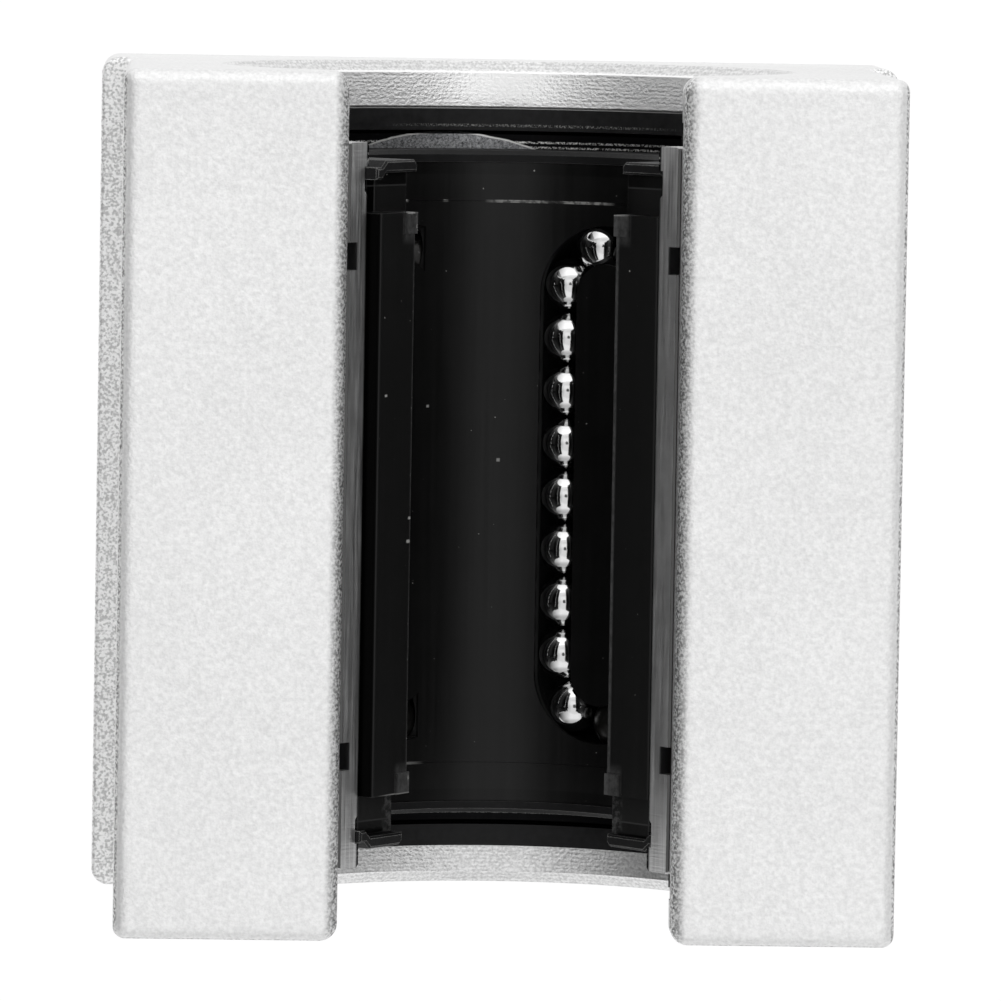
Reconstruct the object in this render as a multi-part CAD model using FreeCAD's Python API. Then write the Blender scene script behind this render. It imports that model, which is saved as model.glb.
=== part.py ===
"""Linear bearing block for a 20 mm shaft carried on a rail: open slide unit.

Frame: millimetres, +Z up. The block lies on its mounting face (z = 0) with the slot for the
shaft rail opening upward. The origin is the middle of the mounting face, the shaft runs
along Y, and X goes across the block.

The bearing is drawn about its own axis first: there the axis is Y through the origin, and an
angle is counted from straight down (-Z) toward +X. It is then moved to the bore.
"""

import FreeCAD
import Part

import math
import os

from FreeCAD import Placement, Rotation, Vector

os.makedirs("parts", exist_ok=True)

# ---------------------------------------------------------------- driving dimensions
# Aluminium block
BLOCK_WIDTH = 48.0
BLOCK_LENGTH = 50.0
BLOCK_HEIGHT = 39.0
FLANGE_THICKNESS = 11.0
SHOULDER_STEP = 1.5
AXIS_HEIGHT = 23.0
SLOT_WIDTH = 19.2
FLANGE_CORNER = 1.0
SHOULDER_CORNER = 0.7
SHOULDER_TOP_ROUND = 0.9
SLOT_EDGE_ROUND = 1.0
EDGE_BREAK = 0.3
BORE_MOUTH_CHAMFER = 0.7

# Mounting holes, tapped from below
MOUNT_PITCH_X = 35.0
MOUNT_PITCH_Y = 35.0
MOUNT_TAP_RADIUS = 2.5
MOUNT_THREAD_RADIUS = 3.0
MOUNT_TAP_DEPTH = 12.0
DRILL_POINT_ANGLE = 118.0

# Shaft and balls
SHAFT_RADIUS = 10.0
BALL_RADIUS = 1.5875
BALL_GAP = 0.010
BALLS_PER_CIRCUIT = 20
CIRCUITS = 4
CIRCUIT_PITCH_ANGLE = 72.2

# Outer sleeve
SLEEVE_RADIUS = 16.0
SLEEVE_LENGTH = 42.0
SLEEVE_BORE_RADIUS = 14.13
SLEEVE_OPENING_HALF_ANGLE = 36.3
SLEEVE_END_CHAMFER = 0.2
SLEEVE_CUT_CHAMFER = 0.1
LAND_WIDTH = 2.5
LAND_LENGTH = 23.8
OUTER_GROOVE_SPAN = 30.5
OUTER_GROOVE_WIDTH = 1.6
OUTER_GROOVE_RADIUS = 15.25
INNER_GROOVE_RADIUS = 14.5
INNER_GROOVE_WIDTH = 1.4
INNER_GROOVE_INSET = 1.4

# Ball retainer
RETAINER_INNER_RADIUS = 10.15
RETAINER_LENGTH = 33.8
RETAINER_OPENING_HALF_ANGLE = 34.7
RETAINER_EDGE_ROUND = 0.2
TAB_LENGTH = 1.25
TAB_HEIGHT = 1.4
TAB_ANGLE = 0.6
TRACK_HALF_ANGLE = 14.5
RETURN_PLAY = 0.09
CHANNEL_CLEARANCE = 0.035
LOAD_SLOT_WIDTH = 2.3
LOAD_SLOT_REACH = 1.4
LEAD_BALL_SHIFT = 1.04

# End rings, wiper seals and circlips
END_RING_OPENING_HALF_ANGLE = 39.5
END_RING_RIM_WIDTH = 0.5
END_RING_RIM_DEPTH = 1.5
END_RING_RIM_ANGLE = 50.0
END_RING_COLLAR_RADIUS = 13.3
SEAL_OPENING_HALF_ANGLE = 36.2
SEAL_THICKNESS = 0.7
SEAL_RIM_INNER_RADIUS = 13.9
SEAL_DISC_RADIUS = 13.4
SEAL_DISC_RISE = 0.4
SEAL_LIP_RADIUS = 10.05
SEAL_LIP_CHAMFER = 0.25
SEAL_CUT_CHAMFER = 0.12
CIRCLIP_THICKNESS = 1.3
CIRCLIP_GROOVE_WIDTH = 1.5
CIRCLIP_GROOVE_RADIUS = 16.85
CIRCLIP_DEPTH_AT_BACK = 3.1
CIRCLIP_DEPTH_AT_EARS = 1.7
CIRCLIP_GAP_HALF_ANGLE = 52.0
CIRCLIP_EAR_ANGLE = 15.0
CIRCLIP_EAR_RADIUS = 12.5
CIRCLIP_EAR_HOLE_RADIUS = 0.9

# Lock screw in the side of the block, bearing on the sleeve
LOCK_THREAD_RADIUS = 2.5
LOCK_HOLE_CHAMFER = 0.4
LOCK_SCREW_LENGTH = 5.0
LOCK_HEX_FLATS = 2.5
LOCK_HEX_SIDES = 6
LOCK_HEX_DEPTH = 2.2
LOCK_SCREW_CHAMFER = 0.4

# Fits
BORE_CLEARANCE = 0.02
STACK_CLEARANCE = 0.02
RADIAL_CLEARANCE = 0.04
RIM_CLEARANCE = 0.05
CIRCLIP_PLAY = 0.04
LAND_CLEARANCE = 0.005
THREAD_CLEARANCE = 0.02

# The circlip grooves are cut a little toward -Y of the block's middle, and the bearing with them.
BEARING_OFFSET = -0.15

# The openings of the loose pieces have crept round toward +X, each by its own angle.
RETAINER_TURN = 1.9
END_RING_TURN_BACK = 2.5
END_RING_TURN_FRONT = 0.3
SEAL_TURN_BACK = 3.3
SEAL_TURN_FRONT = 1.5

# ---------------------------------------------------------------- worked-out sizes
BORE_RADIUS = SLEEVE_RADIUS + BORE_CLEARANCE
SHOULDER_WIDTH = BLOCK_WIDTH - 2 * SHOULDER_STEP
LOAD_RADIUS = SHAFT_RADIUS + BALL_RADIUS
LAND_RADIUS = LOAD_RADIUS + BALL_RADIUS + LAND_CLEARANCE
RETURN_RADIUS = SLEEVE_BORE_RADIUS - RETURN_PLAY - BALL_RADIUS
RETAINER_OUTER_RADIUS = SLEEVE_BORE_RADIUS - RADIAL_CLEARANCE
CHANNEL_RADIUS = BALL_RADIUS + CHANNEL_CLEARANCE
RETAINER_END = RETAINER_LENGTH / 2
SLEEVE_END = SLEEVE_LENGTH / 2
INNER_GROOVE_OUTER_FACE = SLEEVE_END - INNER_GROOVE_INSET
INNER_GROOVE_DEPTH = INNER_GROOVE_RADIUS - SLEEVE_BORE_RADIUS
RIM_RADIUS = INNER_GROOVE_RADIUS - RADIAL_CLEARANCE
SEAL_END = INNER_GROOVE_OUTER_FACE - RIM_CLEARANCE
SEAL_START = SEAL_END - SEAL_THICKNESS
END_RING_START = RETAINER_END + STACK_CLEARANCE
END_RING_END = SEAL_START - STACK_CLEARANCE
CIRCLIP_START = SLEEVE_END + CIRCLIP_PLAY
CIRCLIP_RADIUS = CIRCLIP_GROOVE_RADIUS - RADIAL_CLEARANCE
CIRCUIT_ANGLES = [(i - (CIRCUITS - 1) / 2) * CIRCUIT_PITCH_ANGLE for i in range(CIRCUITS)]
REACH = BLOCK_WIDTH + BLOCK_LENGTH

DOWN = Vector(0, 0, -1)
UP = Vector(0, 0, 1)
ALONG = Vector(0, 1, 0)
ACROSS = Vector(1, 0, 0)
ORIGIN = Vector(0, 0, 0)


# ---------------------------------------------------------------- helpers
def at_bore(shape):
    """Move a shape drawn about the bearing's own axis to its place in the block."""
    placed = shape.copy()
    placed.translate(Vector(0, BEARING_OFFSET, AXIS_HEIGHT))
    return placed


def turned(shape, angle):
    """Turn a shape about the bearing axis, from straight down toward +X."""
    result = shape.copy()
    result.rotate(ORIGIN, ALONG, -angle)
    return result


def other_end(shape):
    """The same piece at the -Y end of the bearing."""
    return shape.mirror(ORIGIN, ALONG)


def tube(inner, outer, start, end):
    """Ring about the bearing axis between two Y stations."""
    rod = Part.makeCylinder(outer, end - start, Vector(0, start, 0), ALONG)
    hole = Part.makeCylinder(inner, end - start, Vector(0, start, 0), ALONG)
    return rod.cut(hole)


def revolved(profile):
    """Ring about the bearing axis whose section is the closed list of (radius, y) points."""
    points = [Vector(radius, y, 0) for radius, y in profile]
    wire = Part.makePolygon(points + points[:1])
    return Part.Face(wire).revolve(ORIGIN, ALONG, 360)


def opening_wedge(half_angle, turn=0.0):
    """Prism for the opening: half_angle to each side of a line turned from +Z toward +X."""
    points = [Vector(0, -REACH, 0)]
    for angle in (turn - half_angle, turn + half_angle):
        side = REACH * math.sin(math.radians(angle))
        rise = REACH * math.cos(math.radians(angle))
        points.append(Vector(side, -REACH, rise))
    wire = Part.makePolygon(points + points[:1])
    return Part.Face(wire).extrude(ALONG * 2 * REACH)


def single(shape):
    """The one solid that a piece must be, with its split faces joined."""
    solids = shape.removeSplitter().Solids
    if len(solids) != 1:
        raise ValueError("expected one solid, found %d" % len(solids))
    return solids[0]


def save(name, shapes):
    """Write a node's STEP file: one solid, or a group of separate ones."""
    shape = shapes[0] if len(shapes) == 1 else Part.makeCompound(shapes)
    shape.exportStep("parts/%s.step" % name)


def edges_where(shape, test):
    """The edges of a shape whose bounding box passes a test."""
    return [edge for edge in shape.Edges if test(edge.BoundBox)]


def cut_end_edges(ring):
    """The edges round the flat faces that an opening leaves on a ring."""
    edges = []
    for face in ring.Faces:
        flat = face.Surface.TypeId == "Part::GeomPlane"
        if flat and abs(face.normalAt(0, 0).y) < 0.01:
            edges += face.Edges
    return edges


# ---------------------------------------------------------------- aluminium block
def block_profile():
    """Section of the block across the shaft: flange, shoulders, and the slot above the bore."""
    half = BLOCK_WIDTH / 2
    shoulder = SHOULDER_WIDTH / 2
    slot = SLOT_WIDTH / 2
    corners = [
        (-half, 0),
        (half, 0),
        (half, FLANGE_THICKNESS),
        (shoulder, FLANGE_THICKNESS),
        (shoulder, BLOCK_HEIGHT),
        (slot, BLOCK_HEIGHT),
        (slot, AXIS_HEIGHT),
        (-slot, AXIS_HEIGHT),
        (-slot, BLOCK_HEIGHT),
        (-shoulder, BLOCK_HEIGHT),
        (-shoulder, FLANGE_THICKNESS),
        (-half, FLANGE_THICKNESS),
    ]
    points = [Vector(x, -BLOCK_LENGTH / 2, z) for x, z in corners]
    return Part.Face(Part.makePolygon(points + points[:1]))


def round_block(block):
    """Round the cast-like outer corners and the slot's lips before anything is drilled."""
    half = BLOCK_WIDTH / 2
    shoulder = SHOULDER_WIDTH / 2
    slot = SLOT_WIDTH / 2

    def upright(box):
        return box.ZLength > 1 and box.XLength < 0.01 and box.YLength < 0.01

    def lengthwise(box, x, z):
        return box.YLength > 1 and abs(abs(box.XMin) - x) < 0.01 and abs(box.ZMin - z) < 0.01

    flange_edges = edges_where(block, lambda b: upright(b) and abs(abs(b.XMin) - half) < 0.01)
    block = block.makeFillet(FLANGE_CORNER, flange_edges)
    leg_edges = edges_where(block, lambda b: upright(b) and abs(abs(b.XMin) - shoulder) < 0.01)
    block = block.makeFillet(SHOULDER_CORNER, leg_edges)
    top_edges = edges_where(block, lambda b: lengthwise(b, shoulder, BLOCK_HEIGHT))
    block = block.makeFillet(SHOULDER_TOP_ROUND, top_edges)
    lip_edges = edges_where(block, lambda b: lengthwise(b, slot, BLOCK_HEIGHT))
    block = block.makeFillet(SLOT_EDGE_ROUND, lip_edges)
    foot_edges = edges_where(block, lambda b: lengthwise(b, half, 0))
    ledge_edges = edges_where(block, lambda b: lengthwise(b, half, FLANGE_THICKNESS))
    return block.makeFillet(EDGE_BREAK, foot_edges + ledge_edges)


def bore_tool():
    """Everything turned out of the bore: the bore, its two mouth chamfers, the circlip grooves."""
    end = BLOCK_LENGTH / 2
    tool = Part.makeCylinder(BORE_RADIUS, 2 * REACH, Vector(0, -REACH, AXIS_HEIGHT), ALONG)
    mouth_radius = BORE_RADIUS + BORE_MOUTH_CHAMFER
    for sign in (-1, 1):
        start = Vector(0, sign * (end - BORE_MOUTH_CHAMFER), AXIS_HEIGHT)
        tool = tool.fuse(
            Part.makeCone(BORE_RADIUS, mouth_radius, BORE_MOUTH_CHAMFER, start, ALONG * sign)
        )
    play = (CIRCLIP_GROOVE_WIDTH - CIRCLIP_THICKNESS) / 2
    start = CIRCLIP_START - play
    groove = Part.makeCylinder(
        CIRCLIP_GROOVE_RADIUS, CIRCLIP_GROOVE_WIDTH, Vector(0, start, 0), ALONG
    )
    for piece in (groove, other_end(groove)):
        tool = tool.fuse(at_bore(piece))
    return tool


def mount_hole(x, y):
    """Blind tapping-size hole from below, with a drill point and a countersunk mouth."""
    point = MOUNT_TAP_RADIUS / math.tan(math.radians(DRILL_POINT_ANGLE / 2))
    mouth = MOUNT_THREAD_RADIUS - MOUNT_TAP_RADIUS
    hole = Part.makeCylinder(MOUNT_TAP_RADIUS, MOUNT_TAP_DEPTH, Vector(x, y, 0), UP)
    tip = Part.makeCone(MOUNT_TAP_RADIUS, 0, point, Vector(x, y, MOUNT_TAP_DEPTH), UP)
    sink = Part.makeCone(MOUNT_THREAD_RADIUS, MOUNT_TAP_RADIUS, mouth, Vector(x, y, 0), UP)
    return hole.fuse([tip, sink])


def lock_hole():
    """Thread-size hole through the +X side wall into the bore, with a countersunk mouth."""
    mouth = LOCK_HOLE_CHAMFER
    start = Vector(BORE_RADIUS / 2, BEARING_OFFSET, AXIS_HEIGHT)
    hole = Part.makeCylinder(LOCK_THREAD_RADIUS, REACH, start, ACROSS)
    sink_start = Vector(SHOULDER_WIDTH / 2 - mouth, BEARING_OFFSET, AXIS_HEIGHT)
    sink = Part.makeCone(LOCK_THREAD_RADIUS, LOCK_THREAD_RADIUS + mouth, mouth, sink_start, ACROSS)
    return hole.fuse(sink)


def make_housing():
    """Extruded aluminium block with its bore, grooves, mounting holes and lock screw hole."""
    block = round_block(block_profile().extrude(ALONG * BLOCK_LENGTH))
    block = block.cut(bore_tool())
    for x in (-MOUNT_PITCH_X / 2, MOUNT_PITCH_X / 2):
        for y in (-MOUNT_PITCH_Y / 2, MOUNT_PITCH_Y / 2):
            block = block.cut(mount_hole(x, y))
    return single(block.cut(lock_hole()))


# ---------------------------------------------------------------- bearing circuits
def track_lines():
    """Centres (x, z) of the load line and the return line of a circuit that points down."""
    half = math.radians(TRACK_HALF_ANGLE)
    load = Vector(-LOAD_RADIUS * math.sin(half), 0, -LOAD_RADIUS * math.cos(half))
    back = Vector(RETURN_RADIUS * math.sin(half), 0, -RETURN_RADIUS * math.cos(half))
    return load, back


LOAD_LINE, RETURN_LINE = track_lines()
TURN_RADIUS = (RETURN_LINE - LOAD_LINE).Length / 2
TRACK_TILT = math.degrees(math.atan2(LOAD_LINE.z - RETURN_LINE.z, RETURN_LINE.x - LOAD_LINE.x))
TRACK_PLACE = Placement((LOAD_LINE + RETURN_LINE) / 2, Rotation(ALONG, TRACK_TILT))


def chord_angle(distance):
    """Angle on a turn between two points that are distance apart in a straight line."""
    return 2 * math.asin(distance / (2 * TURN_RADIUS))


def straight_half_length():
    """Half length of a straight, so that a full circuit of balls closes with BALL_GAP between.

    Each turn costs more track than its chords; the number of pitches on both turns together
    is pi / chord_angle each, and what is left of the balls lies on the two straights.
    """
    pitch = 2 * BALL_RADIUS + BALL_GAP
    pitches_on_turns = 2 * math.pi / chord_angle(pitch)
    return (BALLS_PER_CIRCUIT - pitches_on_turns) * pitch / 4


STRAIGHT_HALF = straight_half_length()


def stadium(radius):
    """Racetrack outline in the track plane: two straights along Y joined by half circles."""
    right = Vector(radius, 0, 0)
    shift = ALONG * STRAIGHT_HALF
    crown = ALONG * radius
    far = Part.Arc(right + shift, shift + crown, shift - right).toShape()
    near = Part.Arc(-right - shift, -shift - crown, right - shift).toShape()
    left_side = Part.makeLine(shift - right, -right - shift)
    right_side = Part.makeLine(right - shift, right + shift)
    return Part.Wire([far, left_side, near, right_side])


def channel_tool():
    """Ball channel of one circuit: a round-bottomed racetrack, open toward the sleeve."""
    tool = None
    for sign in (-1, 1):
        start = Vector(sign * TURN_RADIUS, -STRAIGHT_HALF, 0)
        straight = Part.makeCylinder(CHANNEL_RADIUS, 2 * STRAIGHT_HALF, start, ALONG)
        turn = Part.makeTorus(TURN_RADIUS, CHANNEL_RADIUS, ORIGIN, UP, -180, 180, 180)
        turn.rotate(ORIGIN, UP, 0 if sign > 0 else 180)
        turn.translate(ALONG * sign * STRAIGHT_HALF)
        tool = straight.fuse(turn) if tool is None else tool.fuse([straight, turn])
    outer = stadium(TURN_RADIUS + CHANNEL_RADIUS)
    inner = stadium(TURN_RADIUS - CHANNEL_RADIUS)
    ring = Part.Face(outer).cut(Part.Face(inner)).extrude(DOWN * 2 * BALL_RADIUS)
    return tool.fuse(ring)


def load_slot_tool():
    """Window in the retainer's bore over the loaded row and the start of both turns.

    It follows the racetrack and is narrower than a ball, so its edges keep the balls in.
    """
    outer = stadium(TURN_RADIUS + LOAD_SLOT_WIDTH / 2)
    inner = stadium(TURN_RADIUS - LOAD_SLOT_WIDTH / 2)
    ring = Part.Face(outer).cut(Part.Face(inner)).extrude(UP * 2 * BALL_RADIUS)
    loaded_side = Part.makeBox(
        REACH, 2 * REACH, REACH, Vector(LOAD_SLOT_REACH - REACH, -REACH, -REACH / 2)
    )
    return ring.common(loaded_side)


def ball_centre(step):
    """Ball centre after a number of pitches round the circuit, in the track plane.

    The balls climb the load line toward +Y, cross to the return line on the far turn, come
    back down it and cross again on the near turn. Distance is counted in pitches, and a turn
    takes pi / chord_angle of them, so that neighbours on a turn stay a chord apart.
    """
    pitch = 2 * BALL_RADIUS + BALL_GAP
    straight = 2 * STRAIGHT_HALF / pitch
    turn = math.pi / chord_angle(pitch)
    place = step % BALLS_PER_CIRCUIT
    if place < straight:
        return Vector(-TURN_RADIUS, place * pitch - STRAIGHT_HALF, 0)
    place -= straight
    if place < turn:
        angle = math.pi - place * chord_angle(pitch)
        return Vector(math.cos(angle), math.sin(angle), 0) * TURN_RADIUS + ALONG * STRAIGHT_HALF
    place -= turn
    if place < straight:
        return Vector(TURN_RADIUS, STRAIGHT_HALF - place * pitch, 0)
    angle = -(place - straight) * chord_angle(pitch)
    return Vector(math.cos(angle), math.sin(angle), 0) * TURN_RADIUS - ALONG * STRAIGHT_HALF


def circuit_balls(angle):
    """The balls of one circuit: loaded, turning and returning, each list in order along +Y."""
    loaded = []
    turning = []
    returning = []
    for index in range(BALLS_PER_CIRCUIT):
        centre = ball_centre(index + LEAD_BALL_SHIFT / (2 * BALL_RADIUS + BALL_GAP))
        group = returning
        if centre.x < LAND_WIDTH / 4 - TURN_RADIUS:
            group = loaded
        elif centre.x < LOAD_SLOT_REACH - LOAD_SLOT_WIDTH / 2:
            group = turning
        ball = Part.makeSphere(BALL_RADIUS, TRACK_PLACE.multVec(centre))
        group.append(at_bore(turned(ball, angle)))
    for group in (loaded, turning, returning):
        group.sort(key=lambda ball: ball.CenterOfMass.y)
    return loaded, turning, returning


# ---------------------------------------------------------------- bearing pieces
def make_sleeve():
    """Hardened outer sleeve: relieved bore with a raised land for each loaded row of balls."""
    end = SLEEVE_END
    chamfer = SLEEVE_END_CHAMFER
    groove_outer = OUTER_GROOVE_SPAN / 2
    groove_inner = groove_outer - OUTER_GROOVE_WIDTH
    outside = [(SLEEVE_RADIUS - chamfer, end), (SLEEVE_RADIUS, end - chamfer)]
    outside += [(SLEEVE_RADIUS, groove_outer), (OUTER_GROOVE_RADIUS, groove_outer)]
    outside += [(OUTER_GROOVE_RADIUS, groove_inner), (SLEEVE_RADIUS, groove_inner)]
    inside = [(SLEEVE_BORE_RADIUS + chamfer, end), (SLEEVE_BORE_RADIUS, end - chamfer)]
    rim_face = INNER_GROOVE_OUTER_FACE
    slope_start = rim_face - INNER_GROOVE_WIDTH
    inside += [(SLEEVE_BORE_RADIUS, rim_face), (INNER_GROOVE_RADIUS, rim_face)]
    inside += [(INNER_GROOVE_RADIUS, slope_start)]
    inside += [(SLEEVE_BORE_RADIUS, slope_start - INNER_GROOVE_DEPTH)]
    half = outside + [(radius, -y) for radius, y in reversed(outside)]
    half += [(radius, -y) for radius, y in inside]
    half += list(reversed(inside))
    sleeve = revolved(half)
    ring = tube(LAND_RADIUS, (SLEEVE_BORE_RADIUS + SLEEVE_RADIUS) / 2,
                -LAND_LENGTH / 2, LAND_LENGTH / 2)
    bar = Part.makeBox(LAND_WIDTH, LAND_LENGTH, SLEEVE_RADIUS,
                       Vector(-LAND_WIDTH / 2, -LAND_LENGTH / 2, -SLEEVE_RADIUS))
    land = ring.common(bar)
    for angle in CIRCUIT_ANGLES:
        sleeve = sleeve.fuse(turned(land, angle - TRACK_HALF_ANGLE))
    sleeve = single(sleeve.cut(opening_wedge(SLEEVE_OPENING_HALF_ANGLE)))
    long_edges = [e for e in cut_end_edges(sleeve) if e.BoundBox.YLength > LAND_WIDTH]
    return single(sleeve.makeChamfer(SLEEVE_CUT_CHAMFER, long_edges))


def retainer_tabs():
    """Small tabs on the retainer's end corners, standing into the opening."""
    inner = RETAINER_INNER_RADIUS
    ring = tube(inner, inner + TAB_HEIGHT, RETAINER_END - TAB_LENGTH, RETAINER_END)
    ring = ring.common(opening_wedge(RETAINER_OPENING_HALF_ANGLE, RETAINER_TURN))
    tabs = ring.cut(opening_wedge(RETAINER_OPENING_HALF_ANGLE - TAB_ANGLE, RETAINER_TURN))
    return [tabs, other_end(tabs)]


def make_retainer():
    """Moulded ball retainer: an open ring with a racetrack channel for each circuit."""
    body = tube(RETAINER_INNER_RADIUS, RETAINER_OUTER_RADIUS, -RETAINER_END, RETAINER_END)
    body = body.cut(opening_wedge(RETAINER_OPENING_HALF_ANGLE, RETAINER_TURN))
    rims = edges_where(body, lambda b: b.YLength > 1 and b.XLength < 0.01)
    body = body.makeFillet(RETAINER_EDGE_ROUND, rims)
    body = body.fuse(retainer_tabs())
    channel = channel_tool()
    channel.Placement = TRACK_PLACE
    slot = load_slot_tool()
    slot.Placement = TRACK_PLACE
    for angle in CIRCUIT_ANGLES:
        body = body.cut(turned(slot, angle))
        body = body.cut(turned(channel, angle))
    return single(body)


def make_end_ring(turn):
    """End ring: its collar backs the wiper's disc, its rim sits in the sleeve's inner groove."""
    collar_end = END_RING_END + SEAL_DISC_RISE
    body = tube(RETAINER_INNER_RADIUS, RETAINER_OUTER_RADIUS, END_RING_START, END_RING_END)
    collar = tube(RETAINER_INNER_RADIUS, END_RING_COLLAR_RADIUS, END_RING_START, collar_end)
    body = body.fuse(collar).cut(opening_wedge(END_RING_OPENING_HALF_ANGLE, turn))
    rim_start = END_RING_END - END_RING_RIM_WIDTH
    rim = tube(RIM_RADIUS - END_RING_RIM_DEPTH, RIM_RADIUS, rim_start, END_RING_END)
    return single(body.fuse(rim.cut(opening_wedge(END_RING_RIM_ANGLE, turn))))


def make_seal(turn):
    """Wiper seal: an open disc round the shaft, stepped back at its rim into the groove."""
    disc_start = SEAL_START + SEAL_DISC_RISE
    disc_end = SEAL_END + SEAL_DISC_RISE
    profile = [
        (SEAL_LIP_RADIUS, disc_start),
        (SEAL_DISC_RADIUS, disc_start),
        (SEAL_RIM_INNER_RADIUS, SEAL_START),
        (RIM_RADIUS, SEAL_START),
        (RIM_RADIUS, SEAL_END),
        (SEAL_RIM_INNER_RADIUS, SEAL_END),
        (SEAL_DISC_RADIUS, disc_end),
        (SEAL_LIP_RADIUS + SEAL_LIP_CHAMFER, disc_end),
        (SEAL_LIP_RADIUS, disc_end - SEAL_LIP_CHAMFER),
    ]
    seal = revolved(profile).cut(opening_wedge(SEAL_OPENING_HALF_ANGLE, turn))
    return single(seal.makeChamfer(SEAL_CUT_CHAMFER, cut_end_edges(seal)))


def make_circlip():
    """Internal circlip: widest at the back, narrowing to two ears with plier holes."""
    start = Vector(0, CIRCLIP_START, 0)
    back = CIRCLIP_RADIUS - CIRCLIP_DEPTH_AT_BACK
    front = CIRCLIP_RADIUS - CIRCLIP_DEPTH_AT_EARS
    inner_radius = (back + front) / 2
    shift = UP * (front - back) / 2
    disc = Part.makeCylinder(CIRCLIP_RADIUS, CIRCLIP_THICKNESS, start, ALONG)
    ring = disc.cut(Part.makeCylinder(inner_radius, CIRCLIP_THICKNESS, start + shift, ALONG))
    ring = ring.cut(opening_wedge(CIRCLIP_GAP_HALF_ANGLE))
    ear_band = tube(CIRCLIP_EAR_RADIUS, CIRCLIP_RADIUS, CIRCLIP_START,
                    CIRCLIP_START + CIRCLIP_THICKNESS)
    ears = ear_band.common(opening_wedge(CIRCLIP_GAP_HALF_ANGLE + CIRCLIP_EAR_ANGLE))
    ring = ring.fuse(ears.cut(opening_wedge(CIRCLIP_GAP_HALF_ANGLE)))
    hole_radius = (CIRCLIP_EAR_RADIUS + CIRCLIP_RADIUS) / 2
    hole = Part.makeCylinder(
        CIRCLIP_EAR_HOLE_RADIUS, CIRCLIP_THICKNESS, start + DOWN * hole_radius, ALONG
    )
    for side in (-1, 1):
        angle = side * (180 - CIRCLIP_GAP_HALF_ANGLE - CIRCLIP_EAR_ANGLE / 2)
        ring = ring.cut(turned(hole, angle))
    return single(ring)


def make_lock_screw():
    """Cup-point set screw that locks the sleeve in the bore, with a hexagon socket."""
    tip = SLEEVE_RADIUS + THREAD_CLEARANCE
    radius = LOCK_THREAD_RADIUS - THREAD_CLEARANCE
    body = Part.makeCylinder(radius, LOCK_SCREW_LENGTH, Vector(tip, 0, 0), ACROSS)
    ends = edges_where(body, lambda b: b.XLength < 0.01)
    body = body.makeChamfer(LOCK_SCREW_CHAMFER, ends)
    corner = LOCK_HEX_FLATS / math.sqrt(3)
    outer_face = tip + LOCK_SCREW_LENGTH
    points = []
    for index in range(LOCK_HEX_SIDES):
        turn = 2 * math.pi * index / LOCK_HEX_SIDES
        points.append(Vector(outer_face, corner * math.cos(turn), corner * math.sin(turn)))
    hexagon = Part.Face(Part.makePolygon(points + points[:1]))
    socket = hexagon.extrude(-ACROSS * LOCK_HEX_DEPTH)
    return single(body.cut(socket))


# ---------------------------------------------------------------- build
def build():
    """Write one STEP file for each node."""
    save("housing", [make_housing()])
    save("outer_sleeve", [at_bore(make_sleeve())])
    save("ball_retainer", [at_bore(make_retainer())])
    save("lock_set_screw", [at_bore(make_lock_screw())])
    save("end_ring_back", [at_bore(make_end_ring(END_RING_TURN_BACK))])
    save("end_ring_front", [at_bore(other_end(make_end_ring(END_RING_TURN_FRONT)))])
    save("wiper_seal_back", [at_bore(make_seal(SEAL_TURN_BACK))])
    save("wiper_seal_front", [at_bore(other_end(make_seal(SEAL_TURN_FRONT)))])
    circlip = make_circlip()
    save("circlip_back", [at_bore(circlip)])
    save("circlip_front", [at_bore(other_end(circlip))])
    for number, angle in enumerate(CIRCUIT_ANGLES, start=1):
        loaded, turning, returning = circuit_balls(angle)
        for index, ball in enumerate(loaded, start=1):
            save("circuit_%d_load_ball_%d" % (number, index), [ball])
        for end, ball in zip(("front", "back"), turning, strict=True):
            save("circuit_%d_turn_ball_%s" % (number, end), [ball])
        save("circuit_%d_return_balls" % number, returning)


build()
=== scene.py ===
import functools
import math

import bpy
from mathutils import Matrix, Vector


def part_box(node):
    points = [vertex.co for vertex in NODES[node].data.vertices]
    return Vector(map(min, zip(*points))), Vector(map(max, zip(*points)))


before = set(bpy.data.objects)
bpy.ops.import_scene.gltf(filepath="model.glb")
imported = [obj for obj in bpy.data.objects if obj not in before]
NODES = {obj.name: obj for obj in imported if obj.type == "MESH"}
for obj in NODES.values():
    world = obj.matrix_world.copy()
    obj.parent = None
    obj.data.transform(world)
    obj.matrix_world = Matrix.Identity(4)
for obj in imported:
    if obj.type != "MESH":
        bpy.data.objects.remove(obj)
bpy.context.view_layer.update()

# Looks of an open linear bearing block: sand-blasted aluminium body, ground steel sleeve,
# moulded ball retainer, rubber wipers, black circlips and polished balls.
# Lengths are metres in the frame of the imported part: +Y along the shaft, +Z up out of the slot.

MM = 0.001

# ---------------------------------------------------------------- places read from the frame
BLOCK_LOW, BLOCK_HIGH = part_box("housing")
SLEEVE_LOW, SLEEVE_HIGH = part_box("outer_sleeve")
RETAINER_LOW, RETAINER_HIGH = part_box("ball_retainer")

SLEEVE_RADIUS = (SLEEVE_HIGH.x - SLEEVE_LOW.x) / 2
AXIS_Z = SLEEVE_LOW.z + SLEEVE_RADIUS
MIDDLE_Y = (SLEEVE_LOW.y + SLEEVE_HIGH.y) / 2
SLEEVE_HALF = (SLEEVE_HIGH.y - SLEEVE_LOW.y) / 2
RETAINER_HALF = (RETAINER_HIGH.y - RETAINER_LOW.y) / 2
WIPER_FACE_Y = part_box("wiper_seal_front")[0].y

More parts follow.
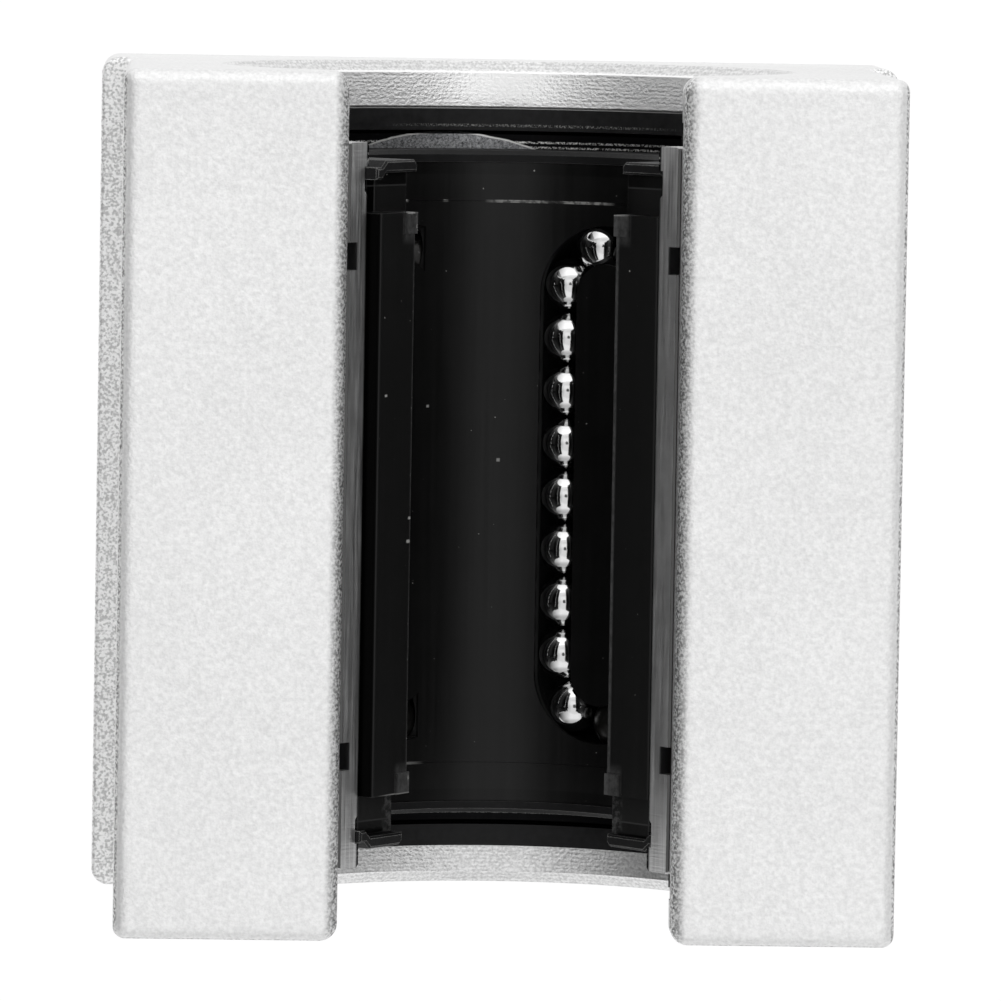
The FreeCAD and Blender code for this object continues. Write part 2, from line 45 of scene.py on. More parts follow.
# ---------------------------------------------------------------- sizes that no box shows
FLANGE_TOP = BLOCK_LOW.z + 11.0 * MM
LEG_OUTSIDE = 22.5 * MM         # outer walls of the legs, to either side of the middle
LEG_INSIDE = 9.6 * MM           # the slot's walls, to either side of the middle
TURNING_FEED = 0.243 * MM       # pitch of the turning marks in the block's bore
SLEEVE_BORE = 14.13 * MM        # radius
GROOVE_Y = 14.45 * MM           # outer ring grooves of the sleeve, from its middle
GROOVE_HALF = 0.80 * MM         # half their width
GROOVE_FLOOR = 15.25 * MM       # radius
RETAINER_BORE = 10.15 * MM      # radius
RIGHT_CORNER = 36.6             # where the retainer's bore ends at its opening, in degrees
LEFT_CORNER = -32.8             # from upright about the axis
TAB_Z = AXIS_Z + 8.0 * MM       # the retainer's corner tabs stand above this
COLLAR_RADIUS = 13.30 * MM      # of the end rings

# ---------------------------------------------------------------- where the dirt and the painted shade lie
BARE_X = -3.2 * MM              # middle of the strip that grease leaves bare at the back
BARE_HALF = 3.9 * MM
RING_SHADE_Y = 18.52 * MM      # painted shade darkens the end rings past this, from the middle
# Middle and half length across, in mm, of the runs of crumbs along the retainer's back joint.
CRUMB_RUNS = [(1.2, 1.1), (5.0, 0.9), (-3.3, 0.1), (-5.8, 0.15)]
# Single specks of dust: across, along and half size, in mm.
BORE_SPECKS = [(0.12, 1.20, 0.065), (-4.19, 4.43, 0.05)]
CUT_FACE_SPECKS = [(-5.64, -1.01, 0.05), (-5.70, -2.36, 0.06), (-7.16, 6.21, 0.045)]

COLOUR = {"data_type": "RGBA"}  # settings of a Mix of colours
TINT = COLOUR | {"blend_type": "MULTIPLY"}


# ---------------------------------------------------------------- material helpers
def linear(code):
    """An sRGB hex colour such as #8A8C8E as linear red, green, blue and alpha."""
    values = [int(code[i:i + 2], 16) / 255 for i in (1, 3, 5)]
    decoded = [v / 12.92 if v <= 0.04045 else ((v + 0.055) / 1.055) ** 2.4 for v in values]
    return (*decoded, 1.0)


def add_node(tree, kind, *values, named=None, **settings):
    """Adds one node to a tree and returns it; settings are its properties.

    values fill the inputs that the settings leave in use, in order, and named ones go by name.
    Each is a plain value, an output, or a node, which stands for its first output in use.
    """
    made = tree.nodes.new("ShaderNode" + kind)
    for name, value in settings.items():
        setattr(made, name, value)
    filled = list(zip((socket for socket in made.inputs if socket.enabled), values))
    filled += [(made.inputs[name], value) for name, value in (named or {}).items()]
    for socket, value in filled:
        if isinstance(value, bpy.types.Node):
            value = next(output for output in value.outputs if output.enabled)
        if isinstance(value, bpy.types.NodeSocket):
            tree.links.new(value, socket)
        else:
            socket.default_value = value
    return made


def new_material(name):
    """An empty node material, the function that adds to it, and object coordinates in metres."""
    material = bpy.data.materials.new(name)
    material.use_nodes = True
    material.node_tree.nodes.clear()
    add = functools.partial(add_node, material.node_tree)
    return material, add, add("TexCoord").outputs["Object"]


def all_of(add, *masks):
    """1 where every mask is 1: their product."""
    return functools.reduce(lambda a, b: add("Math", a, b, operation="MULTIPLY"), masks)


def any_of(add, *masks):
    """1 where some mask is 1: the greatest of them."""
    return functools.reduce(lambda a, b: add("Math", a, b, operation="MAXIMUM"), masks)


def apart(add, value, middle):
    """How far value lies from middle, to either side."""
    return add("Math", add("Math", value, middle, operation="SUBTRACT"), operation="ABSOLUTE")


def stripe(add, value, middle, half):
    """1 where value is within half of middle, falling to 0 at twice that."""
    return add("MapRange", apart(add, value, middle), 2 * half, half)


def line_distance(add, place, x=0.0, z=AXIS_Z):
    """Distance from the line through x and z along Y: by default from the bore's axis."""
    across, _, height = add("SeparateXYZ", place).outputs
    off_x = add("Math", across, x, operation="SUBTRACT")
    off_z = add("Math", height, z, operation="SUBTRACT")
    square = add("Math", off_z, off_z, operation="MULTIPLY")
    square = add("Math", off_x, off_x, square, operation="MULTIPLY_ADD")
    return add("Math", square, operation="SQRT")


def corner_distance(add, place, degrees):
    """Distance from the retainer's bore corner, degrees from upright about the bore's axis."""
    angle = math.radians(degrees)
    return line_distance(add, place, RETAINER_BORE * math.sin(angle),
                         AXIS_Z + RETAINER_BORE * math.cos(angle))


def grains(add, place, size, detail=2.0, roughness=0.5, stretch=(1, 1, 1)):
    """Noise whose grains are about size metres across, drawn out along the axes by stretch."""
    scale = tuple(1 / (size * s) for s in stretch)
    mapped = add("Mapping", named={"Vector": place, "Scale": scale})
    return add("TexNoise", named={"Vector": mapped, "Scale": 1.0, "Detail": detail,
                                  "Roughness": roughness})


def edge_highlight_mask(add, radius):
    """1 within about radius of an edge, 0 on open faces, from how a bevel would turn the normal."""
    facing = add("NewGeometry").outputs["Normal"]
    bevel = add("Bevel", radius, samples=4)
    likeness = add("VectorMath", facing, bevel, operation="DOT_PRODUCT")
    return add("MapRange", likeness, 0.98, 0.80)


# ---------------------------------------------------------------- materials
def blasted_anodised_aluminium():
    """Extruded aluminium, sand blasted and clear anodised, its bore turned bright.

    Blasting leaves a fine pitted grain whose facets glitter, so tone and slope both vary. Its
    grains are drawn about a quarter of a millimetre across, coarser than the grit, to show at
    all. The grain is stronger on the flange's ledge, and half as strong in the turned bore, as
    painted glitter that stands in for light falling across them. The walls of the slot have
    dark gouges, with painted shade on the left wall, and the grain is darker along the outline
    of the legs' tops. Turning marks run round the mouths of the bore, painted brighter toward
    the back as light.
    """
    material, add, place = new_material("sand_blasted_clear_anodised_aluminium")
    across, along, height = add("SeparateXYZ", place).outputs
    sideways = add("Math", across, operation="ABSOLUTE")
    reach = line_distance(add, place)

    grain = grains(add, place, 0.17 * MM, detail=1.5)
    grit = grains(add, place, 0.32 * MM, roughness=0.6)
    glint = grains(add, place, 0.24 * MM, detail=2.5, roughness=0.6)
    cloud = grains(add, place, 9.0 * MM, detail=3.0)

    # Where each kind of surface lies.
    turned = add("MapRange", reach, SLEEVE_RADIUS + 0.9 * MM, SLEEVE_RADIUS + 0.8 * MM)
    chamfer = add("MapRange", reach, SLEEVE_RADIUS + 0.05 * MM, SLEEVE_RADIUS + 0.15 * MM)
    ledge = all_of(
        add,
        stripe(add, height, FLANGE_TOP - 0.45 * MM, 0.6 * MM),
        add("MapRange", sideways, LEG_OUTSIDE - 0.1 * MM, LEG_OUTSIDE + 0.1 * MM))
    outline = all_of(
        add,
        any_of(
            add,
            add("MapRange", sideways, LEG_OUTSIDE - 0.26 * MM, LEG_OUTSIDE - 0.14 * MM),
            add("MapRange", along, BLOCK_LOW.y + 0.10 * MM, BLOCK_LOW.y + 0.05 * MM)),
        add("MapRange", height, BLOCK_HIGH.z - 0.70 * MM, BLOCK_HIGH.z - 0.62 * MM))
    wall = all_of(
        add,
        add("MapRange", sideways, LEG_INSIDE + 0.8 * MM, LEG_INSIDE + 0.1 * MM),
        add("Math", 1.0, turned, operation="SUBTRACT"),
        add("MapRange", height, AXIS_Z, AXIS_Z + MM))

    # The tone of the grains; the left wall of the slot is painted a little darker than the right
    # one, as shade.
    # Painted glitter: strong contrast on the ledge and in the turned bore stands in for light
    # falling across them.
    coarse_glitter = add("MapRange", grain, 0.38, 0.60, 0.66, 1.16)
    gouged_and_shaded = all_of(
        add,
        add("MapRange", grain, 0.36, 0.62, 0.20, 1.08),
        add("MapRange", across, -MM, MM, 0.86, 1.0))
    # Darker grain along the outline of the legs' tops.
    darker_rim_grain = add("MapRange", grain, 0.36, 0.60, 0.22, 0.90)
    glitter_share = any_of(add, ledge, add("Math", turned, 0.5, operation="MULTIPLY"))
    speck = add("MapRange", glint, 0.3, 0.7, 0.88, 1.05)
    speck = add("Mix", glitter_share, speck, coarse_glitter)
    speck = add("Mix", wall, speck, gouged_and_shaded)
    speck = add("Mix", outline, speck, darker_rim_grain)
    shade = add("MapRange", cloud, 0.35, 0.65)
    base = add("Mix", shade, linear("#F3F3F3"), linear("#F6F6F6"), **COLOUR)
    blasted = add("Mix", 1.0, base, speck, **TINT)

    # Turning marks waver a little, and the turned metal is painted brighter toward the back, as
    # light falling in from there.
    waver = add("Math", grains(add, place, 0.5 * MM, stretch=(2, 1, 2)), 7.0, operation="MULTIPLY")
    phase = add("Math", along, 2 * math.pi / TURNING_FEED, waver, operation="MULTIPLY_ADD")
    rings = add("MapRange", add("Math", phase, operation="SINE"), -1.0, 1.0)
    # Painted light: the turned bore's tone rises toward the back.
    tone = add("Mix", chamfer, add("MapRange", along, -20.0 * MM, 20.0 * MM, 0.83, 1.60), 0.80)
    ridges = all_of(add, add("MapRange", rings, 0.0, 1.0, 0.98, 1.12), tone)
    streaks = add("Mix", 1.0, blasted, ridges, **TINT)

    pits = add("Math", grit, 0.8, grain, operation="MULTIPLY_ADD")
    relief = add("Math", all_of(add, rings, turned), 0.12, pits, operation="MULTIPLY_ADD")
    steep = add("MapRange", turned, 0.0, 1.0, 0.7, 0.4)
    shader = add("BsdfPrincipled", named={
        "Base Color": add("Mix", turned, blasted, streaks, **COLOUR),
        "Metallic": 0.9,
        "Roughness": add("MapRange", turned, 0.0, 1.0, 0.58, 0.30),
        "Normal": add("Bump", named={"Height": relief, "Strength": steep, "Distance": 0.05 * MM}),
    })
    add("OutputMaterial", shader)
    return material


def ground_bearing_steel():
    """Hardened bearing steel, ground all over: pale grey metal with fine grinding lines.

    The outside was ground turning, so its lines run round. The cut faces of the opening are
    scratched lengthwise, and duller toward both ends. Old grease has dried black near the ends,
    and leaves only a strip of stained steel bare, near the back end; deeper in, the bore is
    black all over. The grease's wavy edge bends inward on both sides of BARE_X, so the strip
    narrows to nothing there. Painted shade darkens the outer ring grooves and the outside's edge
    at the opening, and painted highlights mark the turned lines and the grease's rim.
    """
    material, add, place = new_material("ground_bearing_steel")
    across, along, height = add("SeparateXYZ", place).outputs
    reach = line_distance(add, place)
    from_middle = apart(add, along, MIDDLE_Y)
    from_end = add("Math", SLEEVE_HALF, from_middle, operation="SUBTRACT")
    front = add("MapRange", along, 0.0, -MM)

    # Ground steel, plain and worn.
    rings = grains(add, place, 0.10 * MM, stretch=(40, 1, 40))
    scratches = grains(add, place, 0.14 * MM, detail=3.0, stretch=(1, 30, 1))
    cloud = add("MapRange", grains(add, place, 1.2 * MM, detail=4.0), 0.3, 0.7)
    ground = add("Mix", cloud, linear("#DCDCDC"), linear("#ECECEC"), **COLOUR)
    scored = add("MapRange", scratches, 0.35, 0.65)
    scored = add("Mix", scored, linear("#C6C6C6"), linear("#E8E8E8"), **COLOUR)
    worn = add("MapRange", from_middle, SLEEVE_HALF - 8.0 * MM, SLEEVE_HALF)
    steel = add("Mix", worn, ground, scored, **COLOUR)

    # How far the grease reaches in from the end, and where it lies; deeper in, the bore is black
    # all over.
    bend = add("Math", apart(add, across, BARE_X), BARE_HALF, operation="DIVIDE")
    bend = add("Math", bend, 2.0, operation="POWER")
    wave = grains(add, place, 1.6 * MM, detail=3.0)
    reach_in = add("Math", wave, 0.16 * MM, operation="MULTIPLY")
    reach_in = add("Math", bend, 0.55 * MM, reach_in, operation="MULTIPLY_ADD")
    reach_in = add("Math", front, 2.0 * MM, reach_in, operation="MULTIPLY_ADD")
    past_edge = add("Math", reach_in, from_end, operation="SUBTRACT")
    in_bore = add("MapRange", reach, SLEEVE_BORE + 0.27 * MM, SLEEVE_BORE + 0.12 * MM)
    at_end = all_of(add, in_bore, add("MapRange", from_end, 1.6 * MM, 1.4 * MM))
    deep = all_of(add, in_bore, add("MapRange", from_end, 2.0 * MM, 2.2 * MM))
    film = all_of(add, in_bore, add("MapRange", past_edge, -0.03 * MM, 0.03 * MM))

    # Painted highlights: two glinting turned lines through the grease, and a lit rim along its
    # edge.
    glitter = all_of(
        add,
        add("MapRange", grains(add, place, 0.10 * MM), 0.42, 0.60),
        add("MapRange", front, 0.0, 1.0, 1.0, 0.2))
    turned_lines = any_of(
        add,
        stripe(add, from_end, 0.67 * MM, 0.04 * MM),
        stripe(add, from_end, 0.97 * MM, 0.04 * MM))
    rim = all_of(add, stripe(add, past_edge, 0.0, 0.035 * MM), at_end)
    bright = any_of(add, all_of(add, turned_lines, glitter, film), rim)

    # Painted shade: the outer ring grooves are darkened as shade in a recess, and so is the outer
    # edge where the opening cuts the outside, over its highlight.
    groove_shade = all_of(
        add,
        add("MapRange", apart(add, from_middle, GROOVE_Y), GROOVE_HALF + 0.02 * MM,
            GROOVE_HALF - 0.02 * MM),
        add("MapRange", reach, SLEEVE_RADIUS - 0.10 * MM, SLEEVE_RADIUS - 0.20 * MM),
        add("MapRange", reach, GROOVE_FLOOR - 0.15 * MM, GROOVE_FLOOR - 0.05 * MM))
    brink_shade = all_of(
        add,
        add("MapRange", reach, SLEEVE_RADIUS - 0.14 * MM, SLEEVE_RADIUS - 0.10 * MM),
        add("MapRange", height, AXIS_Z + 9 * MM, AXIS_Z + 10 * MM))

    fleck = add("MapRange", grains(add, place, 0.14 * MM, detail=3.0, roughness=0.8), 0.35, 0.65)
    stained = add("Mix", fleck, linear("#4A4B4D"), linear("#B9BABC"), **COLOUR)
    colour = add("Mix", at_end, steel, stained, **COLOUR)
    colour = add("Mix", any_of(add, film, deep), colour, linear("#141415"), **COLOUR)
    # Painted shade in the outer ring grooves and over the outside's edge at the opening.
    colour = add("Mix", groove_shade, colour, linear("#6C6C6D"), **COLOUR)
    colour = add("Mix", brink_shade, colour, linear("#585858"), **COLOUR)
    # Painted highlights on the turned lines and along the grease's rim.
    colour = add("Mix", bright, colour, linear("#E0E0DE"), **COLOUR)
    relief = add("Math", scratches, 0.8, rings, operation="MULTIPLY_ADD")
    shader = add("BsdfPrincipled", named={
        "Base Color": colour,
        "Metallic": 1.0,
        "Roughness": add("MapRange", scratches, 0.3, 0.7, 0.30, 0.46),
        "Normal": add("Bump", named={"Height": relief, "Strength": 0.5, "Distance": 0.012 * MM}),
    })
    add("OutputMaterial", shader)
    return material


def polished_ball_steel():
    """Chrome bearing steel balls, lapped to a mirror, with a trace of oil haze."""
    material, add, place = new_material("polished_ball_steel")
    haze = grains(add, place, 0.8 * MM)
    shader = add("BsdfPrincipled", named={
        "Base Color": linear("#D0D0D0"),
        "Metallic": 1.0,
        "Roughness": add("MapRange", haze, 0.3, 0.7, 0.05, 0.10),
    })
    add("OutputMaterial", shader)
    return material


def shaded_ball_steel():
    """The same balls painted dark as shade, where they lie unlit deep in the block, with thin
    lighter streaks.
    """
    material, add, place = new_material("shaded_ball_steel")
    smear = grains(add, place, 0.9 * MM, detail=3.0, stretch=(1, 2, 1))
    bare = add("MapRange", smear, 0.60, 0.68)
    shader = add("BsdfPrincipled", named={
        "Base Color": add("Mix", bare, linear("#1B1A19"), linear("#A0A1A3"), **COLOUR),
        "Metallic": add("MapRange", bare, 0.0, 1.0, 0.5, 1.0),
        "Roughness": add("MapRange", bare, 0.0, 1.0, 0.32, 0.08),
    })
    add("OutputMaterial", shader)
    return material


def retainer_dust(add, across, along, crumbs, above):
    """Pale dust on the retainer: crumbs along its joints with the end rings, and single specks."""
    below = add("Math", 1.0, above, operation="SUBTRACT")
    from_middle = add("Math", along, MIDDLE_Y, operation="SUBTRACT")
    joint = RETAINER_HALF + 0.01 * MM
    runs = [stripe(add, across, x * MM, half * MM) for x, half in CRUMB_RUNS]
    back = all_of(
        add,
        stripe(add, from_middle, joint, 0.05 * MM),
        any_of(add, *runs),
        add("MapRange", crumbs, 0.40, 0.55, 0.25, 1.0))
    front = all_of(
        add,
        stripe(add, from_middle, -joint, 0.05 * MM),
        stripe(add, across, -5.7 * MM, 0.8 * MM),
        0.5)
    dust = any_of(add, add("MapRange", crumbs, 0.80, 0.83), back, front)
    for specks, side in ((BORE_SPECKS, below), (CUT_FACE_SPECKS, above)):
        for x, y, half in specks:
            spot = all_of(
                add,
                stripe(add, across, x * MM, half * MM),
                stripe(add, along, y * MM, half * MM),
                side)
            dust = any_of(add, dust, spot)
    return dust


def moulded_retainer_resin():
    """Black acetal resin, dulled by use: faint draw lines, scuffed tabs, painted edge highlights
    and specks of dust.

    Rubbing shows grey on the corner tabs. Painted highlights show grey along the edge lines above
    the axis and at the two corners where the bore meets the cut faces. The tracks below the axis
    are painted lighter grey, as light reaching into them. Painted shade darkens the end rings at
    their outer ends and past their collars, and the retainer's outside above the axis, with a
    thin painted highlight along the rim of it.
    """
    material, add, place = new_material("moulded_black_acetal")
    across, along, height = add("SeparateXYZ", place).outputs
    reach = line_distance(add, place)
    from_middle = apart(add, along, MIDDLE_Y)

    draw = grains(add, place, 0.25 * MM, detail=3.0, stretch=(1, 60, 1))
    cloud = add("MapRange", grains(add, place, 2.0 * MM, detail=3.0), 0.3, 0.7)
    scuff = grains(add, place, 0.35 * MM, detail=4.0, roughness=0.7)
    crumbs = grains(add, place, 0.28 * MM, detail=1.0)

    # Where each part of it lies.
    above = add("MapRange", height, AXIS_Z, AXIS_Z + MM)
    high = add("MapRange", height, TAB_Z - 0.4 * MM, TAB_Z)
    front = add("MapRange", along, MIDDLE_Y, MIDDLE_Y - MM)
    at_tab = all_of(
        add,
        add("MapRange", from_middle, RETAINER_HALF - 1.9 * MM, RETAINER_HALF - 1.2 * MM),
        add("MapRange", from_middle, RETAINER_HALF + 0.02 * MM, RETAINER_HALF),
        high,
        add("MapRange", reach, RETAINER_BORE + 1.55 * MM, RETAINER_BORE + 1.15 * MM))
    on_ring = all_of(
        add,
        above,
        add("MapRange", from_middle, RETAINER_HALF, RETAINER_HALF + 0.02 * MM))
    # Painted light: the tracks below the axis are lighter, as light reaching into them.
    track_light = all_of(
        add,
        add("MapRange", reach, RETAINER_BORE + 0.10 * MM, RETAINER_BORE + 0.20 * MM),
        add("Math", 1.0, above, operation="SUBTRACT"))
    # Painted shade past the end rings' collars and on the retainer's outside above the axis, with a
    # lower IOR there.
    hidden_shade = any_of(
        add,
        all_of(add, add("MapRange", reach, COLLAR_RADIUS + 0.07 * MM, COLLAR_RADIUS + 0.13 * MM),
               on_ring),
        all_of(add, add("MapRange", reach, SLEEVE_BORE - 0.13 * MM, SLEEVE_BORE - 0.08 * MM),
               above))

    # Grey: scuffed tabs, painted edge highlights, painted highlight lines along the shade's rim and
    # the collar, and a smear inside the front ring.
    tabs = all_of(add, at_tab, add("MapRange", scuff, 0.35, 0.60, 0.35, 0.9))
    # Painted edge highlights above the axis.
    edge_highlights = all_of(
        add,
        edge_highlight_mask(add, 0.10 * MM),
        add("MapRange", scuff, 0.35, 0.60, 0.25, 0.8),
        any_of(add, add("MapRange", reach, RETAINER_BORE + 0.45 * MM, RETAINER_BORE + 0.35 * MM),
               add("MapRange", across, 0.1 * MM, -0.1 * MM)),
        above)
    # Painted highlight lines along the rim of the end rings' shade and round their collars.
    lit_rims = all_of(
        add,
        any_of(add, stripe(add, from_middle, RING_SHADE_Y - 0.06 * MM, 0.03 * MM),
               stripe(add, reach, COLLAR_RADIUS, 0.04 * MM)),
        on_ring,
        0.4)
    smear = all_of(
        add,
        add("MapRange", reach, RETAINER_BORE + 0.95 * MM, RETAINER_BORE + 0.55 * MM),
        on_ring,
        front,
        add("MapRange", scuff, 0.44, 0.62))
    rubbed_and_lit = any_of(add, tabs, edge_highlights, lit_rims, smear)

    # Painted highlights on the bore's corners: the right one broader and brighter than the left
    # one.
    right_edge = add("MapRange", corner_distance(add, place, RIGHT_CORNER),
                     0.45 * MM, 0.30 * MM, 0.0, 0.9)
    left_edge = add("MapRange", corner_distance(add, place, LEFT_CORNER),
                    0.30 * MM, 0.20 * MM, 0.0, 0.5)
    bore_edge_highlight = all_of(
        add,
        any_of(add, left_edge, right_edge),
        add("MapRange", scuff, 0.35, 0.60, 0.45, 1.0))
    dust = any_of(
        add,
        retainer_dust(add, across, along, crumbs, above),
        all_of(add, left_edge, add("MapRange", crumbs, 0.66, 0.72)))

    colour = add("Mix", cloud, linear("#080808"), linear("#0D0D0D"), **COLOUR)
    dulled = add("Math", high, 0.6, operation="MULTIPLY")
    colour = add("Mix", dulled, colour, linear("#191919"), **COLOUR)
    # Painted shade: the end rings turn dark toward their outer ends.
    shade = add("MapRange", from_middle, RING_SHADE_Y - 0.03 * MM, RING_SHADE_Y + 0.03 * MM,
                1.0, 0.15)
    colour = add("Mix", 1.0, colour, shade, **TINT)
    colour = add("Mix", hidden_shade, colour, linear("#020202"), **COLOUR)
    colour = add("Mix", track_light, colour, linear("#2B2B2B"), **COLOUR)
    colour = add("Mix", rubbed_and_lit, colour, linear("#474747"), **COLOUR)
    colour = add("Mix", bore_edge_highlight, colour, linear("#505050"), **COLOUR)
    colour = add("Mix", dust, colour, linear("#9A9A98"), **COLOUR)
    shader = add("BsdfPrincipled", named={
        "Base Color": colour,
        "Roughness": add("MapRange", draw, 0.3, 0.7, 0.30, 0.40),
        "IOR": add("MapRange", hidden_shade, 0.0, 1.0, 1.34, 1.10),
        "Normal": add("Bump", named={"Height": draw, "Strength": 0.2, "Distance": 0.01 * MM}),
    })
    add("OutputMaterial", shader)
    return material


def moulded_wiper_rubber():
    """Nitrile rubber wiper: near black and dull, with painted highlights along its edge lines.

    The highlights show above the axis and round the front seal's outer face, and faintly elsewhere.
    """
    material, add, place = new_material("moulded_nitrile_rubber")
    _, along, height = add("SeparateXYZ", place).outputs
    grain = grains(add, place, 0.12 * MM)
    bloom = grains(add, place, 1.1 * MM, detail=4.0, roughness=0.65)
    outer = add("MapRange", along, WIPER_FACE_Y + 0.30 * MM, WIPER_FACE_Y + 0.22 * MM, 0.12, 1.0)
    # Painted edge highlights.
    edge_highlights = all_of(
        add,
        edge_highlight_mask(add, 0.07 * MM),
        add("MapRange", bloom, 0.35, 0.60, 0.45, 1.0),
        any_of(add, add("MapRange", height, AXIS_Z, AXIS_Z + MM), outer))
    clouded = add("MapRange", bloom, 0.45, 0.7)
    colour = add("Mix", clouded, linear("#060607"), linear("#0E0E10"), **COLOUR)
    shader = add("BsdfPrincipled", named={
        "Base Color": add("Mix", edge_highlights, colour, linear("#B4B4B2"), **COLOUR),
        "Roughness": add("MapRange", grain, 0.3, 0.7, 0.50, 0.65),
        "IOR": 1.32,
        "Normal": add("Bump", named={"Height": grain, "Strength": 0.3, "Distance": 0.01 * MM}),
    })
    add("OutputMaterial", shader)
    return material


def black_oxide_steel():
    """Spring steel with a black oxide: dark, slightly oily metal.

    Round the back circlip runs a fine broken line of painted glints.
    """
    material, add, place = new_material("black_oxide_spring_steel")
    across, along, _ = add("SeparateXYZ", place).outputs
    mottle = grains(add, place, 0.5 * MM, detail=4.0)
    # Painted glints in a fine broken line round the back circlip.
    glints = all_of(
        add,
        add("MapRange", grains(add, place, 0.09 * MM), 0.46, 0.66),
        stripe(add, across, 2.0 * MM, 4.5 * MM),
        add("MapRange", along, 0.0, MM),
        stripe(add, apart(add, along, MIDDLE_Y), SLEEVE_HALF + 0.34 * MM, 0.05 * MM))
    mottled = add("MapRange", mottle, 0.3, 0.7)
    colour = add("Mix", mottled, linear("#0E0E0F"), linear("#1D1D1E"), **COLOUR)
    shader = add("BsdfPrincipled", named={
        "Base Color": add("Mix", glints, colour, linear("#8A8A88"), **COLOUR),
        "Metallic": 0.3,
        "Roughness": add("MapRange", mottle, 0.3, 0.7, 0.38, 0.52),
        "Specular IOR Level": 0.28,
        "Normal": add("Bump", named={"Height": mottle, "Strength": 0.2, "Distance": 0.01 * MM}),
    })
    add("OutputMaterial", shader)
    return material


def dress(names, material):
    """Gives CAD nodes their finish."""
    for name in names:
        mesh = NODES[name].data
        mesh.materials.clear()
        mesh.materials.append(material)


def finish_nodes():
    """Every CAD node gets the finish of the real piece."""
    dress(["housing"], blasted_anodised_aluminium())
    dress(["outer_sleeve"], ground_bearing_steel())
    dress(["ball_retainer", "end_ring_back", "end_ring_front"], moulded_retainer_resin())
    dress(["wiper_seal_back", "wiper_seal_front"], moulded_wiper_rubber())
    dress(["circlip_back", "circlip_front", "lock_set_screw"], black_oxide_steel())
    balls = [name for name in NODES if name.startswith("circuit_")]
    # These balls are painted dark as shade, where they lie unlit deep inside.
    shaded_balls = [name for name in balls if "return" in name or name.startswith("circuit_2_turn")]
    dress(balls, polished_ball_steel())
    dress(shaded_balls, shaded_ball_steel())


# ---------------------------------------------------------------- studio
def studio_floor():
    """A pale floor that reads white to the camera and to mirrors, with a soft shadow.

    It lies a hair below the mounting face, and its underside is clear, so that the block's own
    underside shows from below.
    """
    half, low = 0.6, -0.02 * MM
    points = [(-half, -half, low), (half, -half, low), (half, half, low), (-half, half, low)]
    mesh = bpy.data.meshes.new("studio_floor")
    mesh.from_pydata(points, [], [(0, 1, 2, 3)])
    floor = bpy.data.objects.new("studio_floor", mesh)
    bpy.context.scene.collection.objects.link(floor)
    material, add, _ = new_material("white_sweep_paper")
    rays = add("LightPath").outputs
    seen = any_of(add, rays["Is Camera Ray"], rays["Is Glossy Ray"], rays["Is Transmission Ray"])
    paper = add("BsdfDiffuse", linear("#E8E8E8"))
    glow = add("Emission", linear("#FFFFFF"), 1.06)
    share = add("Math", seen, 0.9, operation="MULTIPLY")
    top = add("MixShader", share, paper, glow)
    underside = add("NewGeometry").outputs["Backfacing"]
    add("OutputMaterial", add("MixShader", underside, top, add("BsdfTransparent")))
    mesh.materials.append(material)


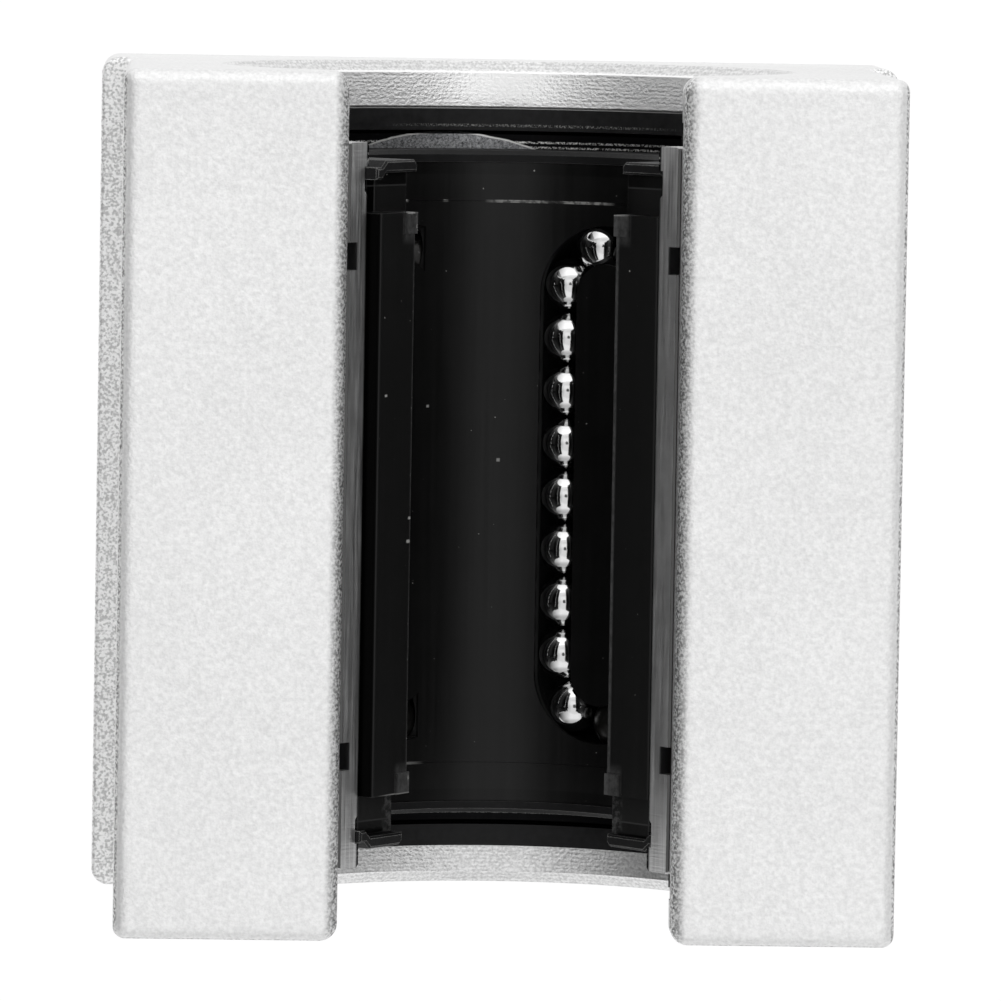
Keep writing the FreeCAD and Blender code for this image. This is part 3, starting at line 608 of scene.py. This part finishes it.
def studio_world(lens_direction):
    """A light tent round the block, white to the camera, with the dark lens in its roof."""
    world = bpy.data.worlds.new("studio_world")
    world.use_nodes = True
    bpy.context.scene.world = world
    world.node_tree.nodes.clear()
    add = functools.partial(add_node, world.node_tree)
    looking = add("TexCoord").outputs["Generated"]
    across, along, up = add("SeparateXYZ", looking).outputs
    light = [
        add("MapRange", up, 0.80, 0.88, 1.22, 1.00),            # less straight overhead
        add("MapRange", along, 0.06, 0.20, 0.0, 0.22),          # a bright band behind that
        add("MapRange", along, 0.35, 0.50, 0.0, -0.30),         # and less beyond the band
        add("MapRange", up, 0.55, 0.15, 0.0, -0.32),            # less near the horizon
        add("MapRange", along, -0.80, -0.90, 0.0, -0.35),       # least at the very front,
        add("MapRange", across, -0.25, -0.85, 0.0, -0.92),      # at the left
        add("MapRange", across, 0.25, 0.85, 0.0, -0.60),        # and at the right
    ]
    tent = functools.reduce(lambda a, b: add("Math", a, b, operation="ADD"), light)
    facing = add("VectorMath", looking, lens_direction, operation="DOT_PRODUCT")
    rim = math.cos(math.radians(6.0))
    lens = add("MapRange", facing, rim - 0.001, rim + 0.001, 1.0, 0.12)
    seen = add("LightPath").outputs["Is Camera Ray"]
    strength = any_of(add, all_of(add, tent, lens), seen)
    add("OutputWorld", add("Background", linear("#FFFFFF"), strength))


def studio_lamp():
    """One broad soft box beyond the +Y end, facing the bore's axis."""
    light = bpy.data.lights.new("back_softbox", "AREA")
    light.shape = "RECTANGLE"
    light.size, light.size_y = 0.9, 0.44
    light.energy = 0.7
    lamp = bpy.data.objects.new("back_softbox", light)
    bpy.context.scene.collection.objects.link(lamp)
    place, target = Vector((-0.02, 0.50, 0.26)), Vector((0, 0, AXIS_Z))
    lamp.location = place
    lamp.rotation_euler = (target - place).to_track_quat("-Z", "Y").to_euler()


def studio_camera():
    """Long lens nearly straight above the slot; returns the direction it lies in.

    The camera's axes are the rows of Rz(roll) Rx(tilt) Ry(swing), and it stands so that the
    pivot, a point above the mounting face, lies at the distance in front of it, off the
    picture's centre by the shift.
    """
    tilt, swing, roll = math.radians(4.02), math.radians(2.03), math.radians(-0.95)
    distance, focal_share = 538.5 * MM, 9072.0 / 1001.0
    pivot, shift = Vector((0, 0, 20 * MM)), Vector((-0.042 * MM, 0.746 * MM, 0))
    turn = Matrix.Rotation(roll, 3, "Z") @ Matrix.Rotation(tilt, 3, "X")
    turn = turn @ Matrix.Rotation(swing, 3, "Y")
    camera = bpy.data.cameras.new("camera")
    camera.sensor_width = 36.0
    camera.lens = camera.sensor_width * focal_share
    camera.clip_start, camera.clip_end = 0.01, 5.0
    holder = bpy.data.objects.new("camera", camera)
    bpy.context.scene.collection.objects.link(holder)
    back = turn.transposed()
    place = pivot + back @ (Vector((0, 0, distance)) - shift)
    holder.matrix_world = Matrix.Translation(place) @ back.to_4x4()
    bpy.context.scene.camera = holder
    return back @ Vector((0, 0, 1))


def main():
    """Builds the dressed part and its studio."""
    finish_nodes()
    studio_floor()
    studio_world(studio_camera())
    studio_lamp()
    bpy.context.scene.view_settings.view_transform = "Standard"


main()
